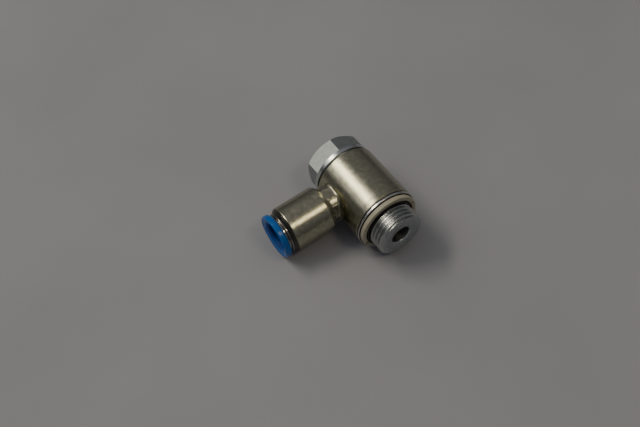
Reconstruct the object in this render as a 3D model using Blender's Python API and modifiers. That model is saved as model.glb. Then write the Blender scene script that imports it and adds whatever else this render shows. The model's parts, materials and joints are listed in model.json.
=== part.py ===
"""One-way flow control valve with a hexagon hollow bolt and a push-in tube connector.

The valve lies on its side.  The hollow bolt runs along +X, the tube connector
points toward -Y and droops a little, so that its release ring meets the floor
(z = 0) together with the round body.  Lengths are written in millimetres and
turned into metres by MM.
"""
import math

import bmesh
import bpy
from mathutils import Matrix, Vector

MM = 0.001
SEGMENTS = 32          # sides of every turned piece
SECTION = 8            # sides of an O-ring cord
SCREW_SEGMENTS = 24    # sides of the slim regulating screw
HOLE_SEGMENTS = 16     # sides of the cross holes

# fits
RUN = 0.10             # radial clearance of turning and sliding pieces
SEAT = 0.08            # radial gap of pieces seated in each other
FACE = 0.15            # end gap between neighbouring faces
STACK = 0.20           # end gap between pieces stacked inside the sleeve

# male pipe thread G 1/2
THREAD_RADIUS = 20.955 / 2
THREAD_PITCH = 25.4 / 14
THREAD_DEPTH = 0.640327 * THREAD_PITCH
THREAD_ROOT = THREAD_RADIUS - THREAD_DEPTH
THREAD_LENGTH = 6.9
THREAD_STEPS = 6       # rings of points per turn of thread

# swivelling body, measured along the bolt axis from the collar
BODY_RADIUS = 14.0
BODY_LENGTH = 27.5
BODY_CHAMFER = 0.4
BODY_BORE = 10.8
BODY_START = FACE
BODY_END = BODY_START + BODY_LENGTH
THRUST_POCKET_RADIUS = BODY_BORE + 1.6
THRUST_POCKET_DEPTH = 1.2
PORT_AT = 8.6

# hexagon head and collar of the hollow bolt
HEX_ACROSS_FLATS = 23.0
HEX_CORNER_RADIUS = HEX_ACROSS_FLATS / 2 / math.cos(math.pi / 6)
HEX_CORNER_ANGLE = math.radians(96.3)
HEX_LENGTH = 8.25
HEX_CHAMFER_LENGTH = 1.7
HEX_CHAMFER_RADIUS = HEX_ACROSS_FLATS / 2 - 0.3
COLLAR_LENGTH = 2.6
COLLAR_RADIUS = HEX_CORNER_RADIUS + 0.22
COLLAR_EDGE = 0.25
COLLAR_END = -FACE
COLLAR_START = COLLAR_END - COLLAR_LENGTH
HEX_END = COLLAR_START - HEX_LENGTH

# shank of the hollow bolt, with its grooves and chambers
SHANK_RADIUS = BODY_BORE - RUN
WAIST_RADIUS = SHANK_RADIUS - 2.3
LAND_RADIUS = SHANK_RADIUS - 1.1
GROOVE_RADIUS = SHANK_RADIUS - 2.0
CHECK_GROOVE_RADIUS = SHANK_RADIUS - 2.5
GROOVE_WIDTH = 2.4
UPPER_GROOVE = (2.4, 2.4 + GROOVE_WIDTH)
LOWER_GROOVE = (BODY_END - 2.25 - GROOVE_WIDTH, BODY_END - 2.25)
CHAMBER_SLOPE = 0.6
UPPER_CHAMBER = (UPPER_GROOVE[1] + 1.4, PORT_AT + 4.9)
CHECK_GROOVE = (UPPER_CHAMBER[1] + 0.7, UPPER_CHAMBER[1] + 3.9)
LOWER_CHAMBER = (CHECK_GROOVE[1], LOWER_GROOVE[0] - 1.2)
CROSS_HOLE_COUNT = 4
UPPER_HOLE_RADIUS = 2.2
LOWER_HOLE_RADIUS = 1.7
UPPER_HOLES_AT = (UPPER_CHAMBER[0] + UPPER_CHAMBER[1]) / 2
LOWER_HOLES_AT = (LOWER_CHAMBER[0] + LOWER_CHAMBER[1] - CHAMBER_SLOPE) / 2

# bright washer and face seal beside the body, then the thread
WASHER_THICKNESS = 1.25
WASHER_START = BODY_END + STACK
WASHER_END = WASHER_START + WASHER_THICKNESS
WASHER_RADIUS = BODY_RADIUS
WASHER_EDGE = 0.35
SHANK_END = WASHER_END + 0.1
SEAL_THICKNESS = 1.95
SEAL_START = SHANK_END + FACE
SEAL_END = SEAL_START + SEAL_THICKNESS
SEAL_RADIUS = WASHER_RADIUS - 0.7
SEAL_INNER = THREAD_RADIUS + 1.07
SEAL_LIP = 0.5
SEAL_EDGE = 0.3
RELIEF_RADIUS = THREAD_ROOT - 0.27
THREAD_START = SEAL_END + 0.2
THREAD_STOP = THREAD_START + THREAD_LENGTH
BOLT_END = THREAD_STOP + 0.6
BOLT_END_RADIUS = THREAD_ROOT + 0.58

# bores inside the hollow bolt
BOLT_BORE = 4.15
NEEDLE_SEAT = 3.0
SCREW_BORE = 4.0
SCREW_THREAD_BORE = 5.0
RECESS_RADIUS = 6.2
RECESS_FLOOR = HEX_END + 1.8
SCREW_BORE_START = COLLAR_END - 0.85
NEEDLE_SEAT_AT = (CHECK_GROOVE[0] + 0.7, CHECK_GROOVE[1] + 0.2)

# regulating screw
SCREW_HEAD = HEX_END + 1.4
STEM_RADIUS = 3.6
SCREW_THREAD_RADIUS = SCREW_THREAD_BORE - RUN
SCREW_THREAD_ROOT = SCREW_THREAD_RADIUS - 0.6
SCREW_THREAD = (SCREW_BORE_START - 4.1, SCREW_BORE_START - 0.2)
SCREW_PITCH = 1.0
SCREW_BODY_RADIUS = SCREW_BORE - RUN
SCREW_GROOVE = (SCREW_BORE_START + 5.5, SCREW_BORE_START + 7.3)
SCREW_GROOVE_RADIUS = SCREW_BODY_RADIUS - 1.3
SCREW_BODY_END = SCREW_GROOVE[1] + 0.9
NEEDLE_RADIUS = NEEDLE_SEAT - 0.12
NEEDLE_SHANK = NEEDLE_SEAT - 0.6
NEEDLE_AT = (NEEDLE_SEAT_AT[0] - 1.0, NEEDLE_SEAT_AT[0] + 0.3)
SCREW_TIP = NEEDLE_SEAT_AT[0] + 4.5
SLOT_WIDTH = 1.2
SLOT_DEPTH = 1.5

# neck of the body, measured along the tube axis from the bolt axis
DROOP = math.radians(6.0)
NECK_LENGTH = 2.4
NECK_RADIUS = 8.1
NECK_FLATS = 15.6
NECK_FLAT_ANGLE = math.radians(87.0)
NECK_END = BODY_RADIUS + NECK_LENGTH
PORT_BORE = 6.25

# tube connector, stacked outward from the neck
TUBE_HOLE = 6.15
PASSAGE = 4.0
SLEEVE_RADIUS = 10.2
SLEEVE_WALL = 1.55
SLEEVE_BORE = SLEEVE_RADIUS - SLEEVE_WALL
SLEEVE_FIT = SLEEVE_BORE - SEAT
SLEEVE_MOUTH_RADIUS = SLEEVE_BORE + 0.6
CONNECTOR_START = BODY_BORE + 0.5
CONNECTOR_GROOVE = (NECK_END - 3.8, NECK_END - 1.9)
CONNECTOR_GROOVE_RADIUS = PORT_BORE - 1.4
CONNECTOR_COLLAR = (NECK_END + FACE, NECK_END + 1.6)
CONNECTOR_COLLAR_RADIUS = SLEEVE_RADIUS - 0.9
CONNECTOR_END = CONNECTOR_COLLAR[1] + 9.0
TUBE_STOP = CONNECTOR_COLLAR[1] + 2.6
TUBE_SEAL = (CONNECTOR_END + STACK, CONNECTOR_END + STACK + 2.9)
SUPPORT_RING = (TUBE_SEAL[1] + STACK, TUBE_SEAL[1] + STACK + 1.3)
CLAMP_RING = (SUPPORT_RING[1] + STACK, SUPPORT_RING[1] + STACK + 3.6)
CLAMP_TAPER = 1.3
CLAW_BASE = (CLAMP_RING[1] + STACK, CLAMP_RING[1] + STACK + 0.5)
CLAW_TIP_AT = CLAMP_RING[0] + 0.8
CLAW_TIP_RADIUS = TUBE_HOLE + 0.3
CLAW_BASE_RADIUS = SLEEVE_BORE - 0.3
CLAW_THICKNESS = 0.32
CLAW_SLOTS = 8
CLAW_SLOT_WIDTH = 0.7
MOUTH_START = CLAW_BASE[1] + STACK
MOUTH_SHOULDER = MOUTH_START + 1.4
MOUTH_END = MOUTH_START + 2.5
SLEEVE_START = CONNECTOR_COLLAR[1] + FACE
SLEEVE_END = MOUTH_START + 0.9
SLEEVE_TAPER = 2.4

# release ring, pushed fully in
RELEASE_STEM_RADIUS = TUBE_HOLE + 0.95
MOUTH_BORE = RELEASE_STEM_RADIUS + RUN
RELEASE_BEAD_RADIUS = MOUTH_BORE + 0.4
MOUTH_POCKET = RELEASE_BEAD_RADIUS + 0.15
RELEASE_NOSE = MOUTH_START - 2.9
RELEASE_NOSE_RADIUS = TUBE_HOLE + 0.6
RELEASE_BEAD = (MOUTH_START - 0.9, MOUTH_START - 0.1)
RELEASE_FLANGE_START = MOUTH_END + 0.25
RELEASE_FLANGE_THICKNESS = 2.75
RELEASE_END = RELEASE_FLANGE_START + RELEASE_FLANGE_THICKNESS
RELEASE_FLANGE_RADIUS = SLEEVE_RADIUS - 0.45


def clear_scene():
    """Empty the file of objects, meshes, materials and collections."""
    for item in list(bpy.data.objects):
        bpy.data.objects.remove(item, do_unlink=True)
    for item in list(bpy.data.meshes):
        bpy.data.meshes.remove(item)
    for item in list(bpy.data.materials):
        bpy.data.materials.remove(item)
    for item in list(bpy.data.collections):
        bpy.data.collections.remove(item)


def new_collection(name):
    """Add a collection to the scene."""
    collection = bpy.data.collections.new(name)
    bpy.context.scene.collection.children.link(collection)
    return collection


def new_material(name, colour, roughness, metallic):
    """Make a plain Principled material."""
    material = bpy.data.materials.new(name)
    material.use_nodes = True
    shader = material.node_tree.nodes["Principled BSDF"]
    shader.inputs["Base Color"].default_value = (*colour, 1.0)
    shader.inputs["Roughness"].default_value = roughness
    shader.inputs["Metallic"].default_value = metallic
    return material


def turned_mesh(name, outline, segments):
    """Closed body of revolution about local Z.

    The outline is a list of (height, radius) points that climbs the outer side and
    comes back down the inner side; where it touches the axis it is left open.
    """
    points = [Vector((radius * MM, 0.0, height * MM)) for height, radius in reversed(outline)]
    edges = []
    for index, point in enumerate(points):
        following = (index + 1) % len(points)
        if point.x > 0.0 or points[following].x > 0.0:
            edges.append((index, following))
    line = bpy.data.meshes.new(name + "_outline")
    line.from_pydata(points, edges, [])
    holder = bpy.data.objects.new(name + "_outline", line)
    bpy.context.scene.collection.objects.link(holder)
    turn = holder.modifiers.new("turn", 'SCREW')
    turn.axis = 'Z'
    turn.angle = 2 * math.pi
    turn.steps = segments
    turn.render_steps = segments
    turn.use_merge_vertices = True
    turn.merge_threshold = 0.00001
    graph = bpy.context.evaluated_depsgraph_get()
    mesh = bpy.data.meshes.new_from_object(holder.evaluated_get(graph))
    mesh.name = name
    bpy.data.objects.remove(holder, do_unlink=True)
    return mesh


def place(name, mesh, frame, material, collection):
    """Put a mesh in the scene with its origin on the axis of its frame."""
    mesh.shade_smooth()
    mesh.set_sharp_from_angle(angle=math.radians(28))
    item = bpy.data.objects.new(name, mesh)
    item.matrix_world = frame
    if material:
        mesh.materials.append(material)
    collection.objects.link(item)
    return item


def turned(name, outline, frame, material, collection, segments=SEGMENTS):
    """Turned piece made from a closed outline."""
    return place(name, turned_mesh(name, outline, segments), frame, material, collection)


def cutter(name, mesh, frame, collection):
    """Tool body that only shapes other pieces."""
    item = place(name, mesh, frame, None, collection)
    item.hide_render = True
    item.display_type = 'WIRE'
    return item


def turned_cutter(name, outline, frame, collection, segments=SEGMENTS):
    """Turned tool body."""
    return cutter(name, turned_mesh(name, outline, segments), frame, collection)


def combine(target, tool, operation):
    """Exact boolean of a tool body on a piece."""
    step = target.modifiers.new(tool.name, 'BOOLEAN')
    step.operation = operation
    step.solver = 'EXACT'
    step.object = tool


def o_ring_profile(start, end, inner, outer):
    """Cord outline that fills a groove between two heights and two radii."""
    centre = (start + end) / 2
    middle = (inner + outer) / 2
    half_height = (end - start) / 2 - 0.1
    half_radius = (outer - inner) / 2
    outline = []
    for step in range(SECTION):
        angle = 2 * math.pi * (step + 0.5) / SECTION
        swell = 1 / math.cos(math.pi / SECTION)
        height = centre - half_height * math.cos(angle) * swell
        radius = middle + half_radius * math.sin(angle) * swell
        outline.append((height, radius))
    return outline


def groove(span, outer, inner):
    """Outline points of a square groove."""
    return [(span[0], outer), (span[0], inner), (span[1], inner), (span[1], outer)]


def hexagon_ring(name, across_flats, corner_angle, start, end, outer, frame, collection):
    """Thick six-sided ring with a hexagonal hole; cutting with it leaves a hexagon."""
    corner = across_flats / 2 / math.cos(math.pi / 6)
    outline = [(start, corner), (start, outer), (end, outer), (end, corner)]
    turn = Matrix.Rotation(corner_angle, 4, 'Z')
    return turned_cutter(name, outline, frame @ turn, collection, segments=6)


def crossed_rods(name, radius, reach, count, height, frame, collection):
    """Round rods pointing outward like spokes at one height, meeting in a hub."""
    shape = bmesh.new()
    for step in range(count):
        angle = 2 * math.pi * (step + 0.5) / count
        turn = Matrix.Rotation(angle, 4, 'Z') @ Matrix.Rotation(math.pi / 2, 4, 'Y')
        centre = Matrix.Translation(Vector((0, 0, height * MM)))
        inner = 1.6
        middle = Matrix.Translation(Vector((0, 0, (inner + reach) / 2 * MM)))
        bmesh.ops.create_cone(
            shape, cap_ends=True, segments=HOLE_SEGMENTS, radius1=radius * MM, radius2=radius * MM,
            depth=(reach - inner) * MM, matrix=centre @ turn @ middle)
    mesh = bpy.data.meshes.new(name)
    shape.to_mesh(mesh)
    shape.free()
    return cutter(name, mesh, frame, collection)


def spoke_slots(name, width, inner, outer, start, end, count, frame, collection):
    """Flat bars around the axis that cut fingers into a ring."""
    shape = bmesh.new()
    for step in range(count):
        angle = 2 * math.pi * (step + 0.5) / count
        size = Matrix.Diagonal(((outer - inner) * MM, width * MM, (end - start) * MM, 1.0))
        centre = Vector(((inner + outer) / 2 * MM, 0, (start + end) / 2 * MM))
        matrix = Matrix.Rotation(angle, 4, 'Z') @ Matrix.Translation(centre) @ size
        bmesh.ops.create_cube(shape, size=1.0, matrix=matrix)
    mesh = bpy.data.meshes.new(name)
    shape.to_mesh(mesh)
    shape.free()
    return cutter(name, mesh, frame, collection)


def raise_thread(mesh):
    """Push the plain land behind the end face out into the helical pipe thread."""
    for vertex in mesh.vertices:
        height = vertex.co.z / MM
        radius = math.hypot(vertex.co.x, vertex.co.y)
        if height < THREAD_START - 0.01 or height > THREAD_STOP + 0.01 or radius < RELIEF_RADIUS * MM:
            continue
        angle = math.atan2(vertex.co.y, vertex.co.x)
        phase = (height / THREAD_PITCH - angle / (2 * math.pi)) % 1.0
        ridge = 1.0 - abs(2.0 * phase - 1.0)
        ridge = min(1.0, max(0.0, (ridge - 0.12) / 0.70))
        fade = min(1.0, (height - THREAD_START) / 0.5 + 0.15)
        swell = 1.0 + THREAD_DEPTH * MM * ridge * fade / radius
        vertex.co.x *= swell
        vertex.co.y *= swell


def bolt_outline():
    """Outline of the hollow bolt: outside from head to thread, then back along the bore."""
    outline = [
        (HEX_END, RECESS_RADIUS),
        (HEX_END, HEX_CHAMFER_RADIUS),
        (HEX_END + HEX_CHAMFER_LENGTH, COLLAR_RADIUS),
        (COLLAR_END - COLLAR_EDGE, COLLAR_RADIUS),
        (COLLAR_END, COLLAR_RADIUS - COLLAR_EDGE),
        (COLLAR_END, SHANK_RADIUS),
    ]
    outline += groove(UPPER_GROOVE, SHANK_RADIUS, GROOVE_RADIUS)
    outline += [
        (UPPER_CHAMBER[0], SHANK_RADIUS),
        (UPPER_CHAMBER[0] + CHAMBER_SLOPE, WAIST_RADIUS),
        (UPPER_CHAMBER[1] - CHAMBER_SLOPE, WAIST_RADIUS),
        (UPPER_CHAMBER[1], LAND_RADIUS),
        (CHECK_GROOVE[0], LAND_RADIUS),
        (CHECK_GROOVE[0], CHECK_GROOVE_RADIUS),
        (LOWER_CHAMBER[0], CHECK_GROOVE_RADIUS),
        (LOWER_CHAMBER[0], WAIST_RADIUS),
        (LOWER_CHAMBER[1] - CHAMBER_SLOPE, WAIST_RADIUS),
        (LOWER_CHAMBER[1], SHANK_RADIUS),
    ]
    outline += groove(LOWER_GROOVE, SHANK_RADIUS, GROOVE_RADIUS)
    outline += [
        (SHANK_END, SHANK_RADIUS),
        (SHANK_END + 0.3, RELIEF_RADIUS),
        (THREAD_START - 0.2, RELIEF_RADIUS),
    ]
    count = round(THREAD_LENGTH / THREAD_PITCH * THREAD_STEPS)
    for step in range(count + 1):
        outline.append((THREAD_START + THREAD_LENGTH * step / count, THREAD_ROOT))
    outline += [
        (THREAD_STOP + 0.05, BOLT_END_RADIUS + 0.1),
        (BOLT_END, BOLT_END_RADIUS),
        (BOLT_END, BOLT_BORE + 0.3),
        (BOLT_END - 0.3, BOLT_BORE),
        (NEEDLE_SEAT_AT[1] + 1.0, BOLT_BORE),
        (NEEDLE_SEAT_AT[1], NEEDLE_SEAT),
        (NEEDLE_SEAT_AT[0], NEEDLE_SEAT),
        (NEEDLE_SEAT_AT[0] - 0.7, SCREW_BORE),
        (SCREW_BORE_START, SCREW_BORE),
        (SCREW_BORE_START, SCREW_THREAD_BORE),
        (RECESS_FLOOR, SCREW_THREAD_BORE),
        (RECESS_FLOOR, RECESS_RADIUS),
    ]
    return outline


def screw_outline():
    """Outline of the regulating screw from its slotted stem to the needle tip."""
    outline = [
        (SCREW_HEAD, 0.0),
        (SCREW_HEAD, STEM_RADIUS - 0.3),
        (SCREW_HEAD + 0.3, STEM_RADIUS),
        (SCREW_THREAD[0], STEM_RADIUS),
        (SCREW_THREAD[0], SCREW_THREAD_ROOT),
    ]
    for turn in range(int((SCREW_THREAD[1] - SCREW_THREAD[0]) / SCREW_PITCH)):
        base = SCREW_THREAD[0] + 0.2 + turn * SCREW_PITCH
        outline.append((base, SCREW_THREAD_ROOT))
        outline.append((base + 0.35 * SCREW_PITCH, SCREW_THREAD_RADIUS))
        outline.append((base + 0.60 * SCREW_PITCH, SCREW_THREAD_RADIUS))
    outline += [
        (SCREW_THREAD[1], SCREW_THREAD_ROOT),
        (SCREW_THREAD[1], SCREW_BODY_RADIUS),
    ]
    outline += groove(SCREW_GROOVE, SCREW_BODY_RADIUS, SCREW_GROOVE_RADIUS)
    outline += [
        (SCREW_BODY_END, SCREW_BODY_RADIUS),
        (SCREW_BODY_END + 0.4, NEEDLE_SHANK),
        (NEEDLE_AT[0] - 0.9, NEEDLE_SHANK),
        (NEEDLE_AT[0], NEEDLE_RADIUS),
        (NEEDLE_AT[1], NEEDLE_RADIUS),
        (NEEDLE_AT[1] + 1.8, 0.7 * NEEDLE_SEAT),
        (SCREW_TIP - 0.4, 0.37 * NEEDLE_SEAT),
        (SCREW_TIP, 0.23 * NEEDLE_SEAT),
        (SCREW_TIP, 0.0),
    ]
    return outline


def build():
    """Make every piece of the valve."""
    clear_scene()
    parts = new_collection("flow_control_valve")
    tools = new_collection("cutters")

    aluminium = new_material("aluminium", (0.62, 0.63, 0.64), 0.34, 1.0)
    plated = new_material("plated_body", (0.58, 0.54, 0.42), 0.32, 1.0)
    chrome = new_material("chrome", (0.78, 0.78, 0.80), 0.14, 1.0)
    brass = new_material("brass", (0.72, 0.53, 0.24), 0.28, 1.0)
    steel = new_material("spring_steel", (0.55, 0.56, 0.58), 0.26, 1.0)
    rubber = new_material("rubber_black", (0.018, 0.018, 0.019), 0.62, 0.0)
    natural = new_material("natural_plastic", (0.60, 0.53, 0.40), 0.50, 0.0)
    black = new_material("black_plastic", (0.03, 0.03, 0.032), 0.45, 0.0)
    white = new_material("white_plastic", (0.75, 0.75, 0.72), 0.45, 0.0)
    blue = new_material("blue_plastic", (0.010, 0.130, 0.420), 0.35, 0.0)

    # the bounding box of the whole valve is centred on the world origin
    reach = RELEASE_END * math.cos(DROOP) + (RELEASE_FLANGE_RADIUS - 0.35) * math.sin(DROOP)
    centre_x = (HEX_END + BOLT_END) / 2
    centre_y = (BODY_RADIUS - reach) / 2
    origin = Vector((-centre_x * MM, -centre_y * MM, BODY_RADIUS * MM))

    # bolt frame: local Z runs along world +X, local X along world +Y
    bolt_frame = Matrix.Translation(origin) @ Matrix((
        (0, 0, 1, 0), (1, 0, 0, 0), (0, 1, 0, 0), (0, 0, 0, 1)))
    # connector frame: local Z runs along the tube axis toward its mouth
    cosine = math.cos(DROOP)
    sine = math.sin(DROOP)
    port_origin = origin + Vector((PORT_AT * MM, 0, 0))
    port_frame = Matrix.Translation(port_origin) @ Matrix((
        (1, 0, 0, 0), (0, -sine, -cosine, 0), (0, cosine, -sine, 0), (0, 0, 0, 1)))

    # hollow bolt with hexagon head, cross holes and pipe thread
    bolt_mesh = turned_mesh("hollow_bolt", bolt_outline(), SEGMENTS)
    raise_thread(bolt_mesh)
    bolt = place("hollow_bolt", bolt_mesh, bolt_frame, aluminium, parts)
    flats = hexagon_ring(
        "bolt_flats", HEX_ACROSS_FLATS, HEX_CORNER_ANGLE, HEX_END - 2, COLLAR_START,
        HEX_ACROSS_FLATS, bolt_frame, tools)
    combine(bolt, flats, 'DIFFERENCE')
    cross_holes = (
        ("upper_holes", UPPER_HOLE_RADIUS, UPPER_HOLES_AT),
        ("lower_holes", LOWER_HOLE_RADIUS, LOWER_HOLES_AT))
    for label, radius, height in cross_holes:
        rods = crossed_rods(
            label, radius, BODY_BORE, CROSS_HOLE_COUNT, height, bolt_frame, tools)
        combine(bolt, rods, 'DIFFERENCE')

    # regulating screw with needle, its O-ring and the ring that keeps it captive
    screw = turned(
        "regulating_screw", screw_outline(), bolt_frame, brass, parts, segments=SCREW_SEGMENTS)
    slot = spoke_slots(
        "screw_slot", SLOT_WIDTH, -6.0, 6.0, SCREW_HEAD - 1, SCREW_HEAD + SLOT_DEPTH, 1,
        bolt_frame, tools)
    combine(screw, slot, 'DIFFERENCE')
    turned(
        "regulating_screw_seal",
        o_ring_profile(*SCREW_GROOVE, SCREW_GROOVE_RADIUS + SEAT, SCREW_BORE - 0.04),
        bolt_frame, rubber, parts, segments=SCREW_SEGMENTS)
    turned(
        "screw_retainer",
        [(HEX_END + 0.5, STEM_RADIUS + RUN), (HEX_END + 0.5, RECESS_RADIUS - SEAT),
         (RECESS_FLOOR - RUN, RECESS_RADIUS - SEAT), (RECESS_FLOOR - RUN, STEM_RADIUS + RUN)],
        bolt_frame, steel, parts)

    # swivelling body: cylinder and side neck in one piece, bored through both
    body = turned(
        "banjo_body",
        [(BODY_START, 0.0), (BODY_START, BODY_RADIUS - BODY_CHAMFER),
         (BODY_START + BODY_CHAMFER, BODY_RADIUS), (BODY_END - BODY_CHAMFER, BODY_RADIUS),
         (BODY_END, BODY_RADIUS - BODY_CHAMFER), (BODY_END, 0.0)],
        bolt_frame, plated, parts)
    neck = turned_cutter(
        "neck_solid",
        [(BODY_BORE / 2, 0.0), (BODY_BORE / 2, NECK_RADIUS), (NECK_END - 0.2, NECK_RADIUS),
         (NECK_END, NECK_RADIUS - 0.2), (NECK_END, 0.0)],
        port_frame, tools)
    neck_flats = hexagon_ring(
        "neck_flats", NECK_FLATS, NECK_FLAT_ANGLE + math.pi / 6, BODY_BORE / 4, NECK_END + 1,
        NECK_FLATS, port_frame, tools)
    combine(neck, neck_flats, 'DIFFERENCE')
    combine(body, neck, 'UNION')
    bore = turned_cutter(
        "body_bore",
        [(-2.0, 0.0), (-2.0, THRUST_POCKET_RADIUS),
         (BODY_START + THRUST_POCKET_DEPTH, THRUST_POCKET_RADIUS),
         (BODY_START + THRUST_POCKET_DEPTH, BODY_BORE), (BODY_END + 2, BODY_BORE),
         (BODY_END + 2, 0.0)],
        bolt_frame, tools)
    combine(body, bore, 'DIFFERENCE')
    port = turned_cutter(
        "port_bore",
        [(BODY_BORE / 2, 0.0), (BODY_BORE / 2, PORT_BORE), (NECK_END + 2, PORT_BORE),
         (NECK_END + 2, 0.0)],
        port_frame, tools)
    combine(body, port, 'DIFFERENCE')

    # rings and seals between the bolt and the body
    turned(
        "thrust_ring",
        [(COLLAR_END + RUN, SHANK_RADIUS + RUN),
         (COLLAR_END + RUN, THRUST_POCKET_RADIUS - RUN),
         (BODY_START + THRUST_POCKET_DEPTH - RUN, THRUST_POCKET_RADIUS - RUN),
         (BODY_START + THRUST_POCKET_DEPTH - RUN, SHANK_RADIUS + RUN)],
        bolt_frame, black, parts)
    for label, groove in (("upper_swivel_seal", UPPER_GROOVE), ("lower_swivel_seal", LOWER_GROOVE)):
        turned(
            label, o_ring_profile(*groove, GROOVE_RADIUS + SEAT, BODY_BORE - SEAT),
            bolt_frame, rubber, parts)
    turned(
        "check_lip_seal",
        [(CHECK_GROOVE[0] + RUN, CHECK_GROOVE_RADIUS + SEAT),
         (CHECK_GROOVE[0] + RUN, BODY_BORE - 1.5),
         (CHECK_GROOVE[0] + 0.8, BODY_BORE - 1.3),
         (CHECK_GROOVE[0] + 2.1, BODY_BORE - SEAT),
         (CHECK_GROOVE[0] + 2.5, BODY_BORE - SEAT),
         (CHECK_GROOVE[0] + 2.3, BODY_BORE - 0.6),
         (CHECK_GROOVE[0] + 1.4, BODY_BORE - 1.8),
         (CHECK_GROOVE[0] + 2.0, BODY_BORE - 1.9),
         (CHECK_GROOVE[1] - RUN, BODY_BORE - 1.9),
         (CHECK_GROOVE[1] - RUN, CHECK_GROOVE_RADIUS + SEAT)],
        bolt_frame, rubber, parts)

    # bright washer that keeps the body on the bolt
    turned(
        "retaining_washer",
        [(WASHER_START, SHANK_RADIUS + SEAT),
         (WASHER_START, WASHER_RADIUS - WASHER_EDGE),
         (WASHER_START + WASHER_EDGE, WASHER_RADIUS),
         (WASHER_END - WASHER_EDGE, WASHER_RADIUS),
         (WASHER_END, WASHER_RADIUS - WASHER_EDGE),
         (WASHER_END, SHANK_RADIUS + SEAT)],
        bolt_frame, chrome, parts)

    # face seal: plastic ring with a rubber core around the thread relief
    turned(
        "sealing_ring",
        [(SEAL_START, SEAL_INNER - SEAL_LIP),
         (SEAL_START, SEAL_RADIUS - SEAL_EDGE),
         (SEAL_START + SEAL_EDGE, SEAL_RADIUS),
         (SEAL_END - SEAL_EDGE, SEAL_RADIUS),
         (SEAL_END, SEAL_RADIUS - SEAL_EDGE),
         (SEAL_END, SEAL_INNER),
         (SEAL_START + 1.0, SEAL_INNER)],
        bolt_frame, natural, parts)
    turned(
        "sealing_ring_core",
        o_ring_profile(
            SEAL_START + 0.25, SEAL_END - 0.1, RELIEF_RADIUS + SEAT,
            SEAL_INNER - SEAL_LIP - SEAT),
        bolt_frame, rubber, parts)

    # tube connector: inner body pressed into the neck, with its O-ring
    turned(
        "connector_body",
        [(CONNECTOR_START, PASSAGE),
         (CONNECTOR_START, PORT_BORE - SEAT - 0.3),
         (CONNECTOR_START + 0.3, PORT_BORE - SEAT),
         (CONNECTOR_GROOVE[0], PORT_BORE - SEAT),
         (CONNECTOR_GROOVE[0], CONNECTOR_GROOVE_RADIUS),
         (CONNECTOR_GROOVE[1], CONNECTOR_GROOVE_RADIUS),
         (CONNECTOR_GROOVE[1], PORT_BORE - SEAT),
         (CONNECTOR_COLLAR[0], PORT_BORE - SEAT),
         (CONNECTOR_COLLAR[0], CONNECTOR_COLLAR_RADIUS - 0.3),
         (CONNECTOR_COLLAR[0] + 0.3, CONNECTOR_COLLAR_RADIUS),
         (CONNECTOR_COLLAR[1] - 0.2, CONNECTOR_COLLAR_RADIUS),
         (CONNECTOR_COLLAR[1], CONNECTOR_COLLAR_RADIUS - 0.2),
         (CONNECTOR_COLLAR[1], SLEEVE_FIT),
         (CONNECTOR_END, SLEEVE_FIT),
         (CONNECTOR_END, TUBE_HOLE),
         (TUBE_STOP, TUBE_HOLE),
         (TUBE_STOP, PASSAGE)],
        port_frame, plated, parts)
    turned(
        "connector_seal",
        o_ring_profile(*CONNECTOR_GROOVE, CONNECTOR_GROOVE_RADIUS + SEAT, PORT_BORE - SEAT),
        port_frame, rubber, parts)

    # outer sleeve with a rounded mouth
    turned(
        "connector_sleeve",
        [(SLEEVE_START, SLEEVE_BORE),
         (SLEEVE_START, SLEEVE_RADIUS - 0.3),
         (SLEEVE_START + 0.3, SLEEVE_RADIUS),
         (SLEEVE_END - SLEEVE_TAPER, SLEEVE_RADIUS),
         (SLEEVE_END - 0.7 * SLEEVE_TAPER, SLEEVE_RADIUS - 0.25),
         (SLEEVE_END - 0.35 * SLEEVE_TAPER, SLEEVE_RADIUS - 0.6),
         (SLEEVE_END, SLEEVE_MOUTH_RADIUS),
         (SLEEVE_END, SLEEVE_BORE)],
        port_frame, plated, parts)

    # pieces inside the sleeve, from the tube stop to the mouth
    turned(
        "tube_seal",
        [(TUBE_SEAL[0], TUBE_HOLE + 0.45), (TUBE_SEAL[0], SLEEVE_FIT),
         (TUBE_SEAL[1], SLEEVE_FIT), (TUBE_SEAL[1], TUBE_HOLE + 0.35),
         (TUBE_SEAL[1] - 0.6, TUBE_HOLE - 0.2), (TUBE_SEAL[0] + 1.1, TUBE_HOLE - 0.2)],
        port_frame, rubber, parts)
    turned(
        "support_ring",
        [(SUPPORT_RING[0], TUBE_HOLE), (SUPPORT_RING[0], SLEEVE_FIT),
         (SUPPORT_RING[1], SLEEVE_FIT), (SUPPORT_RING[1], TUBE_HOLE)],
        port_frame, white, parts)
    slope = (CLAW_BASE_RADIUS - CLAW_TIP_RADIUS) / (CLAW_BASE[0] - CLAW_TIP_AT)
    clamp_inner = CLAW_TIP_RADIUS + CLAW_THICKNESS + 0.25
    clamp_end = CLAMP_RING[1] - CLAMP_TAPER
    turned(
        "clamp_ring",
        [(CLAMP_RING[0], clamp_inner), (CLAMP_RING[0], SLEEVE_FIT),
         (clamp_end, SLEEVE_FIT),
         (clamp_end, clamp_inner + slope * (clamp_end - CLAW_TIP_AT)),
         (CLAW_TIP_AT, clamp_inner)],
        port_frame, brass, parts)
    claw = turned(
        "grip_claw",
        [(CLAW_TIP_AT, CLAW_TIP_RADIUS),
         (CLAW_TIP_AT, CLAW_TIP_RADIUS + CLAW_THICKNESS),
         (CLAW_BASE[0], SLEEVE_FIT),
         (CLAW_BASE[1], SLEEVE_FIT),
         (CLAW_BASE[1], CLAW_BASE_RADIUS - 0.25),
         (CLAW_BASE[0], CLAW_BASE_RADIUS - 0.25)],
        port_frame, steel, parts)
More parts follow.
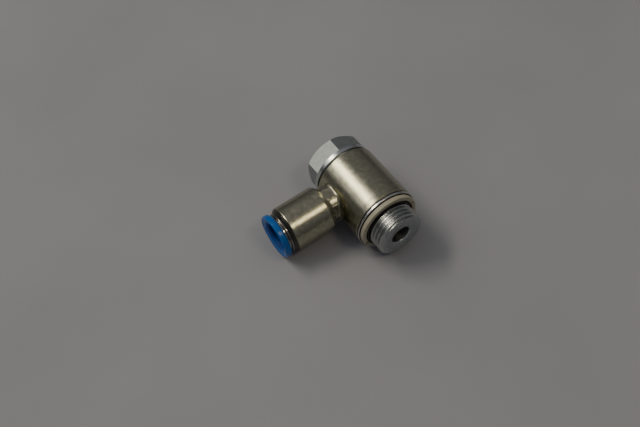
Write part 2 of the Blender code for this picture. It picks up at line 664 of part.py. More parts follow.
    slots = spoke_slots(
        "claw_slots", CLAW_SLOT_WIDTH, TUBE_HOLE / 2, SLEEVE_FIT, CLAW_TIP_AT - 1,
        CLAW_BASE[0] - 0.5,
        CLAW_SLOTS, port_frame, tools)
    combine(claw, slots, 'DIFFERENCE')
    turned(
        "mouth_collar",
        [(MOUTH_START, MOUTH_POCKET),
         (MOUTH_START, SLEEVE_FIT),
         (SLEEVE_END + 0.12, SLEEVE_FIT),
         (SLEEVE_END + 0.12, SLEEVE_MOUTH_RADIUS - 0.1),
         (MOUTH_END - 0.3, SLEEVE_MOUTH_RADIUS - 0.4),
         (MOUTH_END, SLEEVE_MOUTH_RADIUS - 0.65),
         (MOUTH_END, MOUTH_BORE),
         (MOUTH_SHOULDER, MOUTH_BORE),
         (MOUTH_SHOULDER, MOUTH_POCKET)],
        port_frame, chrome, parts)
    turned(
        "release_ring",
        [(RELEASE_NOSE, TUBE_HOLE),
         (RELEASE_NOSE, RELEASE_NOSE_RADIUS - 0.3),
         (RELEASE_NOSE + 0.35, RELEASE_NOSE_RADIUS),
         (RELEASE_BEAD[0] - 0.3, RELEASE_NOSE_RADIUS),
         (RELEASE_BEAD[0], RELEASE_BEAD_RADIUS),
         (RELEASE_BEAD[1], RELEASE_BEAD_RADIUS),
         (RELEASE_BEAD[1], RELEASE_STEM_RADIUS),
         (RELEASE_FLANGE_START, RELEASE_STEM_RADIUS),
         (RELEASE_FLANGE_START, RELEASE_FLANGE_RADIUS - 0.85),
         (RELEASE_FLANGE_START + 0.35, RELEASE_FLANGE_RADIUS - 0.35),
         (RELEASE_FLANGE_START + 1.25, RELEASE_FLANGE_RADIUS),
         (RELEASE_END - 0.7, RELEASE_FLANGE_RADIUS - 0.1),
         (RELEASE_END - 0.15, RELEASE_FLANGE_RADIUS - 0.3),
         (RELEASE_END, RELEASE_FLANGE_RADIUS - 0.75),
         (RELEASE_END - 0.1, RELEASE_FLANGE_RADIUS - 1.45),
         (RELEASE_END - 0.9, TUBE_HOLE + 0.8),
         (RELEASE_END - 1.6, TUBE_HOLE)],
        port_frame, blue, parts)


build()
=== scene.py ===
import json
import math

import bmesh
import bpy
from mathutils import Matrix, Vector


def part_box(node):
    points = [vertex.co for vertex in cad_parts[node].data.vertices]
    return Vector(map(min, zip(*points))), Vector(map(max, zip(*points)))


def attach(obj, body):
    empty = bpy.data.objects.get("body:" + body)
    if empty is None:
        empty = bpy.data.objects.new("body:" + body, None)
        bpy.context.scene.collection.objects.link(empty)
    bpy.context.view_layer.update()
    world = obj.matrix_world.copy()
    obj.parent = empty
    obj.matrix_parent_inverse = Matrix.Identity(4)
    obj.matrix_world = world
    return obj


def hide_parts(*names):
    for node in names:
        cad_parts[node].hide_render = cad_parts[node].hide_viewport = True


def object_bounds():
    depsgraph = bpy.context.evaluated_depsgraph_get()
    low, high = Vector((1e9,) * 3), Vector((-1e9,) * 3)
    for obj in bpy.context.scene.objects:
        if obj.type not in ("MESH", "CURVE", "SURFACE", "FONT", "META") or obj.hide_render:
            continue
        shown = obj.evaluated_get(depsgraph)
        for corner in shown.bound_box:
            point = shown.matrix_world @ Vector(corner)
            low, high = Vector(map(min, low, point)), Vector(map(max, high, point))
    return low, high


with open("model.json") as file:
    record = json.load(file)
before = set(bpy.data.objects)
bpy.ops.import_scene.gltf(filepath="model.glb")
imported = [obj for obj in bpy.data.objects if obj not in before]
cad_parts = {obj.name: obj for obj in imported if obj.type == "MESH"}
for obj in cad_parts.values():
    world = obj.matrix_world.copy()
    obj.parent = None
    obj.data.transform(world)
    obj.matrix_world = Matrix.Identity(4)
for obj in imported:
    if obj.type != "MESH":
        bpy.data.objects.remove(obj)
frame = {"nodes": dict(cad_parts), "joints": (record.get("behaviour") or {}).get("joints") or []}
cad_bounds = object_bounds()

# Heights, radii and fillets below are in millimetres. Along the bolt, height 0 lies just before
# the body's head end, and the thread is at the positive end. Along the tube port, height 0 is
# on the bolt's axis. Outlines are (height, radius, fillet), and the fillet may be left out.
MM = 0.001
ROUND = 192            # sides of the large turned pieces
FINE = 96              # sides of the small turned pieces
HOLD = 0.04            # distance from a rounded edge to the loop that keeps the next face flat
SIXTH = math.pi / 3    # angle between two flats of a hexagon

# ---------------------------------------------------------------- frames
joints = {joint["name"]: joint for joint in frame["joints"]}
bolt_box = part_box("hollow_bolt")
swivel = Vector(joints["body_swivel"]["pos_m"])
HEX_END = -11.0        # outer face of the head
PORT_AT = 8.6          # height on the bolt of the port's axis
bolt_origin = Vector((bolt_box[0].x - HEX_END * MM, swivel.y, swivel.z))
port_origin = bolt_origin + Vector((PORT_AT * MM, 0, 0))
port_axis = Vector(joints["release_slide"]["axis"]).normalized()


def axis_frame(origin, axis, side):
    """Frame whose local Z is an axis and whose local X is nearest to a side direction."""
    z = axis.normalized()
    x = (side - z * side.dot(z)).normalized()
    y = z.cross(x)
    turn = Matrix((x, y, z)).transposed().to_4x4()
    return Matrix.Translation(origin) @ turn


BOLT = axis_frame(bolt_origin, Vector((1, 0, 0)), Vector((0, 1, 0)))
PORT = axis_frame(port_origin, port_axis, Vector((1, 0, 0)))


# ---------------------------------------------------------------- materials
class Nodes:
    """Short way to write a node tree."""

    def __init__(self, name):
        self.material = bpy.data.materials.new(name)
        self.material.use_nodes = True
        self.tree = self.material.node_tree
        self.shader = self.tree.nodes["Principled BSDF"]

    def add(self, kind, **values):
        node = self.tree.nodes.new(kind)
        for key, value in values.items():
            if hasattr(node, key):
                setattr(node, key, value)
            else:
                node.inputs[key.replace("_", " ")].default_value = value
        return node

    def link(self, source, target):
        self.tree.links.new(source, target)

    def math(self, operation, first, second=0.0):
        node = self.add("ShaderNodeMath", operation=operation)
        for socket, value in zip(node.inputs, (first, second)):
            if hasattr(value, "is_linked"):
                self.link(value, socket)
            else:
                socket.default_value = value
        return node.outputs[0]

    def noise(self, vector, scale, detail=2.0, roughness=0.5):
        node = self.add("ShaderNodeTexNoise", Scale=scale, Detail=detail, Roughness=roughness)
        self.link(vector, node.inputs["Vector"])
        return node.outputs["Fac"]

    def ramp(self, factor, stops):
        node = self.add("ShaderNodeValToRGB")
        while len(node.color_ramp.elements) < len(stops):
            node.color_ramp.elements.new(0.5)
        for element, (place, colour) in zip(node.color_ramp.elements, stops):
            element.position = place
            element.color = (*colour, 1.0)
        self.link(factor, node.inputs["Fac"])
        return node.outputs["Color"]

    def spread(self, factor, reach):
        """Stretch the middle of a noise to a range of plus or minus reach."""
        node = self.add(
            "ShaderNodeMapRange", From_Min=0.3, From_Max=0.7, To_Min=-reach, To_Max=reach)
        self.link(factor, node.inputs["Value"])
        return node.outputs["Result"]


GRAIN_SCALE = 9000.0
CLOUD_GLOSS = 0.02     # how far the roughness strays with the clouds
GRAIN_GLOSS = 0.03     # and with the grain
LINE_GLOSS = 0.05      # and with the lathe lines
RELIEF_DEPTH = 0.00006     # metres of relief for a height of one


def finish_material(name, dark, light, roughness, metallic, mottle=220.0, grain_depth=0.04,
                    lathe_lines=0.0, lathe_scale=6500.0, specular=0.5):
    """Surface with cloudy colour, uneven gloss, fine grain and lathe lines.

    Lathe lines follow height plus radius around the piece's own axis, so they run
    round its side and in circles on its ends.
    """
    n = Nodes(name)
    place = n.add("ShaderNodeTexCoord").outputs["Object"]
    cloud = n.noise(place, mottle, 4.0, 0.6)
    colour = n.ramp(cloud, [(0.30, dark), (0.70, light)])
    fine = n.noise(place, GRAIN_SCALE, 3.0, 0.6)
    n.link(colour, n.shader.inputs["Base Color"])
    height = n.math("MULTIPLY", fine, grain_depth)
    gloss = n.math("ADD", n.spread(cloud, CLOUD_GLOSS), n.spread(fine, GRAIN_GLOSS))
    if lathe_lines:
        split = n.add("ShaderNodeSeparateXYZ")
        n.link(place, split.inputs[0])
        x, y, z = split.outputs
        radius = n.math("SQRT", n.math("ADD", n.math("MULTIPLY", x, x), n.math("MULTIPLY", y, y)))
        line = n.add("ShaderNodeTexNoise", noise_dimensions="1D", Scale=lathe_scale, Detail=3.0)
        n.link(n.math("ADD", z, radius), line.inputs["W"])
        height = n.math("ADD", height, n.math("MULTIPLY", line.outputs["Fac"], lathe_lines))
        gloss = n.math("ADD", gloss, n.spread(line.outputs["Fac"], LINE_GLOSS))
    n.link(n.math("ADD", gloss, roughness), n.shader.inputs["Roughness"])
    bump = n.add("ShaderNodeBump", Strength=1.0, Distance=RELIEF_DEPTH)
    n.link(height, bump.inputs["Height"])
    n.link(bump.outputs["Normal"], n.shader.inputs["Normal"])
    n.shader.inputs["Metallic"].default_value = metallic
    n.shader.inputs["Specular IOR Level"].default_value = specular
    return n.material


PLATED = finish_material(
    "satin_plating", (0.345, 0.325, 0.230), (0.465, 0.445, 0.345), 0.195, 1.0, mottle=620.0,
    grain_depth=0.34, lathe_lines=0.16, lathe_scale=5200.0)
ALUMINIUM = finish_material(
    "bare_aluminium", (0.45, 0.475, 0.48), (0.56, 0.585, 0.59), 0.30, 1.0, mottle=700.0,
    grain_depth=0.5, lathe_lines=0.5, lathe_scale=4200.0)
DRAWN_ALUMINIUM = finish_material(
    "drawn_aluminium", (0.31, 0.33, 0.345), (0.43, 0.455, 0.475), 0.50, 1.0, mottle=900.0,
    grain_depth=0.9)
THREAD_METAL = finish_material(
    "rolled_thread", (0.38, 0.39, 0.385), (0.50, 0.51, 0.505), 0.22, 1.0, mottle=700.0,
    grain_depth=0.35)
# Aluminium of the bolt's bore, made darker than the bare aluminium: painted shade inside the
# hole.
BORE_SHADE_METAL = finish_material(
    "bore_metal_painted_shade", (0.17, 0.176, 0.172), (0.24, 0.247, 0.24), 0.36, 1.0, mottle=700.0,
    grain_depth=0.5)
TURNED_COLLAR = finish_material(
    "turned_collar", (0.50, 0.52, 0.52), (0.60, 0.62, 0.62), 0.22, 1.0, mottle=700.0,
    grain_depth=0.2, lathe_lines=0.3, lathe_scale=4200.0)
CHROME = finish_material(
    "bright_ring", (0.56, 0.55, 0.54), (0.68, 0.67, 0.66), 0.15, 1.0, mottle=400.0,
    grain_depth=0.15, lathe_lines=0.2)
COLLAR_CHROME = finish_material(
    "polished_collar", (0.24, 0.225, 0.20), (0.34, 0.32, 0.28), 0.12, 1.0, grain_depth=0.1)
# Plated metal of the sleeve's lip, coloured near black: painted shade and dark reflection.
LIP_PAINTED_SHADE = finish_material(
    "lip_painted_shade_and_dark_reflection", (0.06, 0.058, 0.054), (0.11, 0.105, 0.095), 0.30, 1.0, grain_depth=0.2)
BRASS = finish_material(
    "turned_brass", (0.60, 0.42, 0.18), (0.78, 0.58, 0.28), 0.28, 1.0, grain_depth=0.3,
    lathe_lines=0.4)
STEEL = finish_material(
    "spring_steel", (0.42, 0.43, 0.45), (0.56, 0.57, 0.58), 0.28, 1.0, grain_depth=0.3,
    lathe_lines=0.2)
# Black rubber of the seals, also laid on the washer's recess as painted shade.
RUBBER_AND_SHADE = finish_material(
    "black_rubber_and_painted_shade", (0.010, 0.010, 0.011), (0.022, 0.022, 0.023), 0.55, 0.0, grain_depth=0.6)
BEIGE = finish_material(
    "natural_plastic", (0.36, 0.335, 0.265), (0.43, 0.40, 0.32), 0.48, 0.0, mottle=260.0,
    grain_depth=0.3, lathe_lines=0.25)
BLACK = finish_material(
    "black_plastic", (0.020, 0.020, 0.022), (0.035, 0.035, 0.036), 0.42, 0.0, grain_depth=0.4)
WHITE = finish_material(
    "white_plastic", (0.66, 0.66, 0.62), (0.76, 0.76, 0.73), 0.42, 0.0, grain_depth=0.3)
BLUE = finish_material(
    "blue_plastic", (0.0, 0.088, 0.36), (0.0, 0.118, 0.45), 0.20, 0.0, mottle=500.0,
    grain_depth=0.30, lathe_lines=0.12, specular=0.40)
# Same blue plastic made darker inside the bore: painted shade in the hole.
BLUE_BORE_SHADE = finish_material(
    "blue_plastic_bore_painted_shade", (0.001, 0.035, 0.20), (0.002, 0.060, 0.30), 0.42, 0.0, grain_depth=0.35)


# ---------------------------------------------------------------- mesh helpers
def rounded(outline, steps=5):
    """Closed outline with each corner (height, radius, fillet) turned into an arc."""
    result = []
    count = len(outline)
    for index in range(count):
        height, radius, fillet = (*outline[index], 0.0)[:3]
        here = Vector((height, radius))
        if fillet <= 0.0:
            result.append(here)
            continue
        before = Vector(outline[index - 1][:2]) - here
        after = Vector(outline[(index + 1) % count][:2]) - here
        half = before.angle(after) / 2
        length = fillet / math.tan(half)
        length = min(length, before.length * 0.49, after.length * 0.49)
        start = here + before.normalized() * length
        end = here + after.normalized() * length
        radius_used = length * math.tan(half)
        middle = (before.normalized() + after.normalized()).normalized()
        centre = here + middle * (radius_used / math.sin(half))
        first = start - centre
        last = end - centre
        if length + 2 * HOLD < before.length:
            result.append(start + before.normalized() * HOLD)
        for step in range(steps + 1):
            share = step / steps
            point = (first * (1 - share) + last * share).normalized() * radius_used + centre
            result.append(point)
        if length + 2 * HOLD < after.length:
            result.append(end + after.normalized() * HOLD)
    return result


def shade(mesh, angle=35.0):
    """Smooth shading, but for edges sharper than an angle in degrees."""
    mesh.shade_smooth()
    mesh.set_sharp_from_angle(angle=math.radians(angle))


def finished_mesh(name, shape):
    """Turn a bmesh into a mesh and free it."""
    mesh = bpy.data.meshes.new(name)
    shape.to_mesh(mesh)
    shape.free()
    return mesh


def vertex_ring(shape, segments, place):
    """Ring of vertices about local Z, from a function of the angle to (x, y, height)."""
    ring = []
    for step in range(segments):
        x, y, height = place(2 * math.pi * step / segments)
        ring.append(shape.verts.new((x * MM, y * MM, height * MM)))
    return ring


def join_rings(shape, low, high):
    """Faces between two rings. A ring of one vertex is a tip."""
    segments = max(len(low), len(high))
    for step in range(segments):
        after = (step + 1) % segments
        if len(low) == 1:
            shape.faces.new((low[0], high[step], high[after]))
        elif len(high) == 1:
            shape.faces.new((low[step], high[0], low[after]))
        else:
            shape.faces.new((low[step], high[step], high[after], low[after]))


def paint(item, material, chosen):
    """Give one more material to the faces that a test of height and radius in metres picks."""
    item.data.materials.append(material)
    index = len(item.data.materials) - 1
    for face in item.data.polygons:
        if chosen(face.center.z, face.center.xy.length):
            face.material_index = index


def add_piece(name, mesh, matrix, body, material, nodes=()):
    """Show a mesh as a piece that rides on a body."""
    if material:
        mesh.materials.append(material)
    item = bpy.data.objects.new(name, mesh)
    item.matrix_world = matrix
    bpy.context.scene.collection.objects.link(item)
    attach(item, body)
    if nodes:
        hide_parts(*nodes)
    return item


def revolve(name, outline, segments=ROUND, closed=True, warp=None):
    """Body of revolution about local Z. A warp changes the radius with height and angle."""
    shape = bmesh.new()
    rings = []
    for height, radius in outline:
        if radius < 1e-6:
            rings.append([shape.verts.new((0, 0, height * MM))])
            continue

        def place(angle, height=height, radius=radius):
            reach = warp(height, radius, angle) if warp else radius
            return reach * math.cos(angle), reach * math.sin(angle), height

        rings.append(vertex_ring(shape, segments, place))
    for low, high in zip(rings, rings[1:] + rings[:1] if closed else rings[1:]):
        if len(low) > 1 or len(high) > 1:
            join_rings(shape, low, high)
    bmesh.ops.recalc_face_normals(shape, faces=shape.faces)
    mesh = finished_mesh(name, shape)
    shade(mesh)
    return mesh


def ring_piece(name, outline, matrix, body, material, nodes=(), segments=ROUND):
    """Turned piece with rounded edges."""
    points = [(point.x, point.y) for point in rounded(outline)]
    mesh = revolve(name, points, segments)
    return add_piece(name, mesh, matrix, body, material, nodes)


def carve(item, tools):
    """Cut the tool meshes out of a piece and keep the result as its mesh."""
    helpers = []
    for tool in tools:
        helper = bpy.data.objects.new("tool", tool)
        helper.matrix_world = item.matrix_world
        bpy.context.scene.collection.objects.link(helper)
        step = item.modifiers.new("cut", "BOOLEAN")
        step.operation = "DIFFERENCE"
        step.solver = "EXACT"
        step.object = helper
        helpers.append(helper)
    bpy.context.view_layer.update()
    graph = bpy.context.evaluated_depsgraph_get()
    mesh = bpy.data.meshes.new_from_object(item.evaluated_get(graph))
    item.modifiers.clear()
    item.data = mesh
    for helper in helpers:
        bpy.data.objects.remove(helper, do_unlink=True)
    shade(mesh, 20.0)


def soften_edges(item, width):
    """Small rounded edges that catch the light."""
    step = item.modifiers.new("edge", "BEVEL")
    step.width = width * MM
    step.segments = 3
    step.limit_method = "ANGLE"
    step.angle_limit = math.radians(25.0)
    step.use_clamp_overlap = True
    step.harden_normals = False


def rod_mesh(radius, start, end, sides=40):
    """Solid rod along local Z."""
    shape = bmesh.new()
    low, high = (
        vertex_ring(shape, sides, lambda angle, height=height: (
            radius * math.cos(angle), radius * math.sin(angle), height))
        for height in (start, end))
    shape.faces.new(list(reversed(low)))
    shape.faces.new(high)
    for step in range(sides):
        after = (step + 1) % sides
        shape.faces.new((low[step], low[after], high[after], high[step]))
    bmesh.ops.recalc_face_normals(shape, faces=shape.faces)
    return finished_mesh("rod", shape)


def bar(width, length, start, end, angle=0.0):
    """Flat bar across local Z."""
    shape = bmesh.new()
    size = Matrix.Diagonal((length * MM, width * MM, (end - start) * MM, 1.0))
    centre = Matrix.Translation((0, 0, (start + end) / 2 * MM))
    bmesh.ops.create_cube(shape, size=1.0, matrix=centre @ Matrix.Rotation(angle, 4, "Z") @ size)
    return finished_mesh("bar", shape)


# ---------------------------------------------------------------- hollow bolt
HEX_FLATS = 23.0
HEX_CORNER = HEX_FLATS / 2 / math.cos(math.pi / 6)
HEX_CORNER_ANGLE = math.radians(96.3)
HEX_CUTTER = (-13.0, 26.0)     # start and radius of the ring that cuts the flats
COLLAR_RADIUS = 13.5
COLLAR_START = -2.75
COLLAR_END = -0.98
COLLAR_GROOVE = 12.3           # radius of the step between the collar and the body
RECESS_FLOOR = -9.2
RECESS = 6.2
SCREW_THREAD_HOLE = 5.0
SCREW_HOLE = 4.0
THROAT = 3.0                   # narrowest part of the bore, which the needle closes
SHANK = 10.7
WAIST = 8.4
LAND = 9.6
CHECK_GROOVE = 8.2
RELIEF = 9.05
SHELL_END = 31.6
UPPER_HOLES = (9.85, 2.2)      # height and radius of the cross holes
LOWER_HOLES = (19.3, 1.7)
THREAD_RADIUS = 20.955 / 2
THREAD_PITCH = 25.4 / 14
THREAD_DEPTH = 0.640327 * THREAD_PITCH
THREAD_ROOT = THREAD_RADIUS - THREAD_DEPTH
THREAD_START = 31.5
BOLT_END = 39.0
BOLT_BORE = 4.15
THREAD_SEGMENTS = 240
THREAD_STEPS = 150

bolt = ring_piece(
    "hollow_bolt_body",
    [(RECESS_FLOOR, SCREW_THREAD_HOLE), (RECESS_FLOOR, RECESS), (HEX_END, RECESS, 0.15),
     (HEX_END, 11.2, 0.25), (-9.3, COLLAR_RADIUS), (COLLAR_END, COLLAR_RADIUS, 0.12),
     (COLLAR_END, COLLAR_GROOVE, 0.1), (-0.3, COLLAR_GROOVE, 0.1), (-0.3, SHANK), (6.2, SHANK),
     (6.8, WAIST), (12.9, WAIST), (13.5, LAND), (14.2, LAND), (14.2, CHECK_GROOVE),
     (17.4, CHECK_GROOVE), (21.3, WAIST), (21.8, SHANK), (29.2, SHANK), (29.5, RELIEF),
     (SHELL_END, RELIEF), (SHELL_END, BOLT_BORE), (18.6, BOLT_BORE), (17.6, THROAT),
     (14.9, THROAT), (14.2, SCREW_HOLE), (-1.0, SCREW_HOLE), (-1.0, SCREW_THREAD_HOLE)],
    BOLT, "bolt", ALUMINIUM, ["hollow_bolt"])
hexagon = revolve(
    "hexagon_ring",
    [(HEX_CUTTER[0], HEX_CORNER), HEX_CUTTER, (COLLAR_START, HEX_CUTTER[1]),
     (COLLAR_START, HEX_CORNER)], 6)
hexagon.transform(Matrix.Rotation(HEX_CORNER_ANGLE, 4, "Z"))
cross_holes = []
for height, radius in (UPPER_HOLES, LOWER_HOLES):
    for index in range(4):
        rod = rod_mesh(radius, 1.6, 12.0)
        rod.transform(Matrix.Translation((0, 0, height * MM))
                      @ Matrix.Rotation((index + 0.5) * math.pi / 2, 4, "Z")
                      @ Matrix.Rotation(math.pi / 2, 4, "Y"))
        cross_holes.append(rod)
carve(bolt, [hexagon] + cross_holes)
paint(bolt, DRAWN_ALUMINIUM, lambda height, radius: (
    height < COLLAR_START * MM and radius > 11.3 * MM))
paint(bolt, TURNED_COLLAR, lambda height, radius: (
    COLLAR_START * MM <= height < -0.6 * MM and radius > 13.2 * MM))
soften_edges(bolt, 0.12)


def thread_radius(height, radius, angle):
    """Pipe thread with rounded crests and roots, fading at the relief and the end chamfer."""
    if radius < THREAD_ROOT - 0.05:
        return radius
    phase = (height / THREAD_PITCH - angle / (2 * math.pi)) % 1.0
    ridge = 1.0 - abs(2.0 * phase - 1.0)
    ridge = min(1.0, max(0.0, (ridge - 0.06) / 0.76))
    ridge = ridge * ridge * (3 - 2 * ridge) * 0.15 + ridge * 0.85
    lift = THREAD_DEPTH * ridge
    fade = min(1.0, max(0.0, (height - THREAD_START + 0.1) / 0.8))
    limit = 9.9 + (BOLT_END - height) * 1.0
    return min(THREAD_ROOT + lift * fade, limit)


thread_outline = [(31.2, BOLT_BORE), (31.2, RELIEF), (31.45, RELIEF)]
for step in range(THREAD_STEPS + 1):
    thread_outline.append(
        (THREAD_START + (BOLT_END - THREAD_START) * step / THREAD_STEPS, THREAD_ROOT))
thread_outline += [
    (BOLT_END, 9.0), (BOLT_END, BOLT_BORE + 0.55), (BOLT_END - 0.04, BOLT_BORE + 0.42),
    (BOLT_END - 0.35, BOLT_BORE + 0.06), (BOLT_END - 0.5, BOLT_BORE)]
thread = add_piece(
    "pipe_thread",
    revolve("pipe_thread", thread_outline, THREAD_SEGMENTS, warp=thread_radius),
    BOLT, "bolt", ALUMINIUM, ["hollow_bolt"])
paint(thread, THREAD_METAL, lambda height, radius: (
    radius / MM > THREAD_ROOT - 0.05 and height < (BOLT_END - 0.02) * MM))
# Faces of the bore take the darker metal as painted shade.
paint(thread, BORE_SHADE_METAL, lambda height, radius: radius / MM < BOLT_BORE + 0.1)

# ---------------------------------------------------------------- swivelling body
BODY = 14.0
BODY_BORE = 10.8
BODY_START = 0.3
BODY_END = 27.65
THRUST_RADIUS = 12.4           # pocket for the thrust ring
SOCKET = 6.25                  # bore of the neck, which holds the connector
MARK_START = 24.6
MARK_SPACING = 0.55
MARK_WIDTH = 0.16
MARK_DEPTH = 0.025
tool_marks = []
for index in range(5):
    place = MARK_START + index * MARK_SPACING
    tool_marks += [(place - HOLD, BODY), (place, BODY), (place + 0.06, BODY - MARK_DEPTH),
                   (place + MARK_WIDTH, BODY), (place + MARK_WIDTH + HOLD, BODY)]
banjo = ring_piece(
    "banjo_shell",
    [(1.35, BODY_BORE), (1.35, THRUST_RADIUS), (BODY_START, THRUST_RADIUS, 0.1),
     (BODY_START, BODY, 0.22)] + tool_marks
    + [(BODY_END, BODY, 0.38), (BODY_END, BODY_BORE, 0.1)],
    BOLT, "swivel_body", PLATED, ["banjo_body"])
port_cut = revolve(
    "port_cut", [(8.0, 0.0), (8.0, SOCKET), (17.0, SOCKET), (17.0, 0.0)], FINE, closed=False)
port_cut.transform(BOLT.inverted() @ PORT)
carve(banjo, [port_cut])
shade(banjo.data, 25.0)

NECK_RADIUS = 8.17
NECK_APOTHEM = 7.8
NECK_FLAT_ANGLE = math.radians(87.0)
NECK_END = 16.4
NECK_END_FILLET = 0.25
NECK_FILLET = 0.30
NECK_FILLET_CORNER = 0.50      # added to the fillet at the edges of a flat
NECK_EDGE = math.acos(NECK_APOTHEM / NECK_RADIUS)
NECK_SEGMENTS = 720
NECK_SINK = 0.3                # how far the fillet's last ring goes under the body's surface
BURR_HEIGHT = 0.11
BURR_WIDTH = math.radians(0.9)


def from_flat(angle):
    """Angle from the middle of the nearest flat of the neck."""
    return (angle - NECK_FLAT_ANGLE + math.pi / 6) % SIXTH - math.pi / 6


def neck_reach(angle):
    """Outline of the neck: a circle with six milled flats and a slight burr at their edges."""
    around = from_flat(angle)
    flat = NECK_APOTHEM / math.cos(around)
    burr = BURR_HEIGHT * math.exp(-((abs(around) - NECK_EDGE) / BURR_WIDTH) ** 2)
    return min(NECK_RADIUS, flat) + burr


def neck_fillet(angle):
    """Fillet at the foot of the neck, wider towards the corners, so each flat ends in an arc."""
    return NECK_FILLET + NECK_FILLET_CORNER * min(1.0, abs(from_flat(angle)) / NECK_EDGE) ** 2


def saddle_height(x, y):
    """Height along the neck at which a line beside its axis meets the round body."""
    start = PORT @ Vector((x * MM, y * MM, 0))
    offset = start - bolt_origin
    across = Vector((0, offset.y, offset.z))
    direction = Vector((0, port_axis.y, port_axis.z))
    a = direction.dot(direction)
    b = 2 * across.dot(direction)
    c = across.dot(across) - (BODY * MM) ** 2
    return (-b + math.sqrt(b * b - 4 * a * c)) / (2 * a) / MM


def end_point(angle, height, radius):
    """Point of the neck's outer end, where a radius can cut the outline short."""
    reach = min(radius, neck_reach(angle)) if radius else neck_reach(angle)
    return reach * math.cos(angle), reach * math.sin(angle), height


def side_point(angle, share):
    """Point of the neck's side, a share of the way down to the fillet."""
    reach = neck_reach(angle)
    x, y = reach * math.cos(angle), reach * math.sin(angle)
    foot = saddle_height(x, y) + neck_fillet(angle)
    return x, y, (NECK_END - NECK_END_FILLET) * (1 - share) + foot * share


def foot_point(angle, turn, sink):
    """Point of the fillet at the foot, turned from the side towards the body."""
    fillet = neck_fillet(angle)
    reach = neck_reach(angle) + fillet * (1 - math.cos(turn))
    x, y = reach * math.cos(angle), reach * math.sin(angle)
    return x, y, saddle_height(x, y) + fillet * (1 - math.sin(turn)) - sink


def neck_mesh():
    """Neck lofted from its outer end to the curve where it runs into the body."""
    shape = bmesh.new()
    rows = [
        (end_point, NECK_END, SOCKET),
        (end_point, NECK_END, NECK_RADIUS - NECK_END_FILLET),
        (end_point, NECK_END - 0.07, NECK_RADIUS - 0.07),
        (end_point, NECK_END - NECK_END_FILLET, None)]
    rows += [(side_point, share) for share in (0.25, 0.5, 0.75, 1.0)]
    rows += [(foot_point, math.pi / 2 * part / 6, 0.0) for part in range(1, 7)]
    rows.append((foot_point, math.pi / 2, NECK_SINK))
    rings = [
        vertex_ring(shape, NECK_SEGMENTS, lambda angle, row=row: row[0](angle, *row[1:]))
        for row in rows]
    for low, high in zip(rings, rings[1:]):
        join_rings(shape, low, high)
    bmesh.ops.recalc_face_normals(shape, faces=shape.faces)
    mesh = finished_mesh("banjo_neck", shape)
    shade(mesh, 40.0)
    return mesh


neck = add_piece(
    "banjo_neck", neck_mesh(), PORT, "swivel_body", PLATED, ["banjo_body"])
wall = neck.modifiers.new("wall", "SOLIDIFY")
wall.thickness = 0.6 * MM
wall.offset = -1.0

# ---------------------------------------------------------------- rings beside the body
NOTCH_ANGLES = (23.0, 207.0)
WASHER_START = 28.05
WASHER_END = 29.05
WASHER_BORE = 10.78
WASHER_RECESS = (28.6, 13.5)   # floor and radius of the recess, painted black as shade in the gap
SEAL_START = 29.35
SEAL_END = 31.3
SEAL_RADIUS = 13.35
CORE = (29.6, 31.15, 9.15, 10.95)      # start, end, inner and outer radius
THRUST = (-0.05, 1.25, 10.8, 12.3)
washer = ring_piece(
    "bright_washer",
    [(WASHER_START, WASHER_BORE), (WASHER_START, BODY, 0.25), (WASHER_END, BODY, 0.3),
     (WASHER_END, 13.55, 0.05), WASHER_RECESS, (WASHER_RECESS[0], WASHER_BORE)],
    BOLT, "bolt", CHROME, ["retaining_washer"])
# The recess takes the black rubber finish as painted shade in the gap behind the seal ring.
paint(washer, RUBBER_AND_SHADE, lambda height, radius: height > 28.55 * MM and radius < 13.54 * MM)
seal_ring = ring_piece(
    "face_seal_ring",
    [(SEAL_START, 11.05), (SEAL_START, SEAL_RADIUS, 0.2), (31.2, SEAL_RADIUS, 0.3),
     (SEAL_END, 12.9, 0.2), (SEAL_END, 11.6, 0.12), (30.35, 11.55)],
    BOLT, "bolt", BEIGE, ["sealing_ring"])
notches = []
for angle in NOTCH_ANGLES:
    notch = bar(1.2, 1.6, 30.2, 32.0)
    notch.transform(Matrix.Rotation(math.radians(angle), 4, "Z")
                    @ Matrix.Translation((12.0 * MM, 0, 0)))
    notches.append(notch)
carve(seal_ring, notches)
ring_piece(
    "face_seal_core",
    [(CORE[0], CORE[2], 0.3), (CORE[0], CORE[3], 0.4), (CORE[1], CORE[3], 0.5),
     (CORE[1], CORE[2], 0.3)],
    BOLT, "bolt", RUBBER_AND_SHADE, ["sealing_ring_core"])
ring_piece(
    "thrust_washer",
    [(THRUST[0], THRUST[2], 0.05), (THRUST[0], THRUST[3], 0.1), (THRUST[1], THRUST[3], 0.05),
     (THRUST[1], THRUST[2], 0.05)],
    BOLT, "bolt", BLACK, ["thrust_ring"])

# ---------------------------------------------------------------- tube connector
TUBE_HOLE = 6.15
SLEEVE_RADIUS = 10.2
SLEEVE_START = 18.2
SLEEVE_END = 35.9
SLEEVE_BORE = 8.65
LIP_START = 35.72
LIP_END = 37.18
LIP_BORE = 8.66
PASSAGE = 4.0                  # air passage under the tube stop
PLUG = 6.17                    # part of the inner body that stands in the neck
HOUSING = 8.57                 # radius that the inner rings share
SEAL_GROOVE = 4.85
STRIP = (16.95, 17.66)         # strip of the inner body seen between the neck and the sleeve

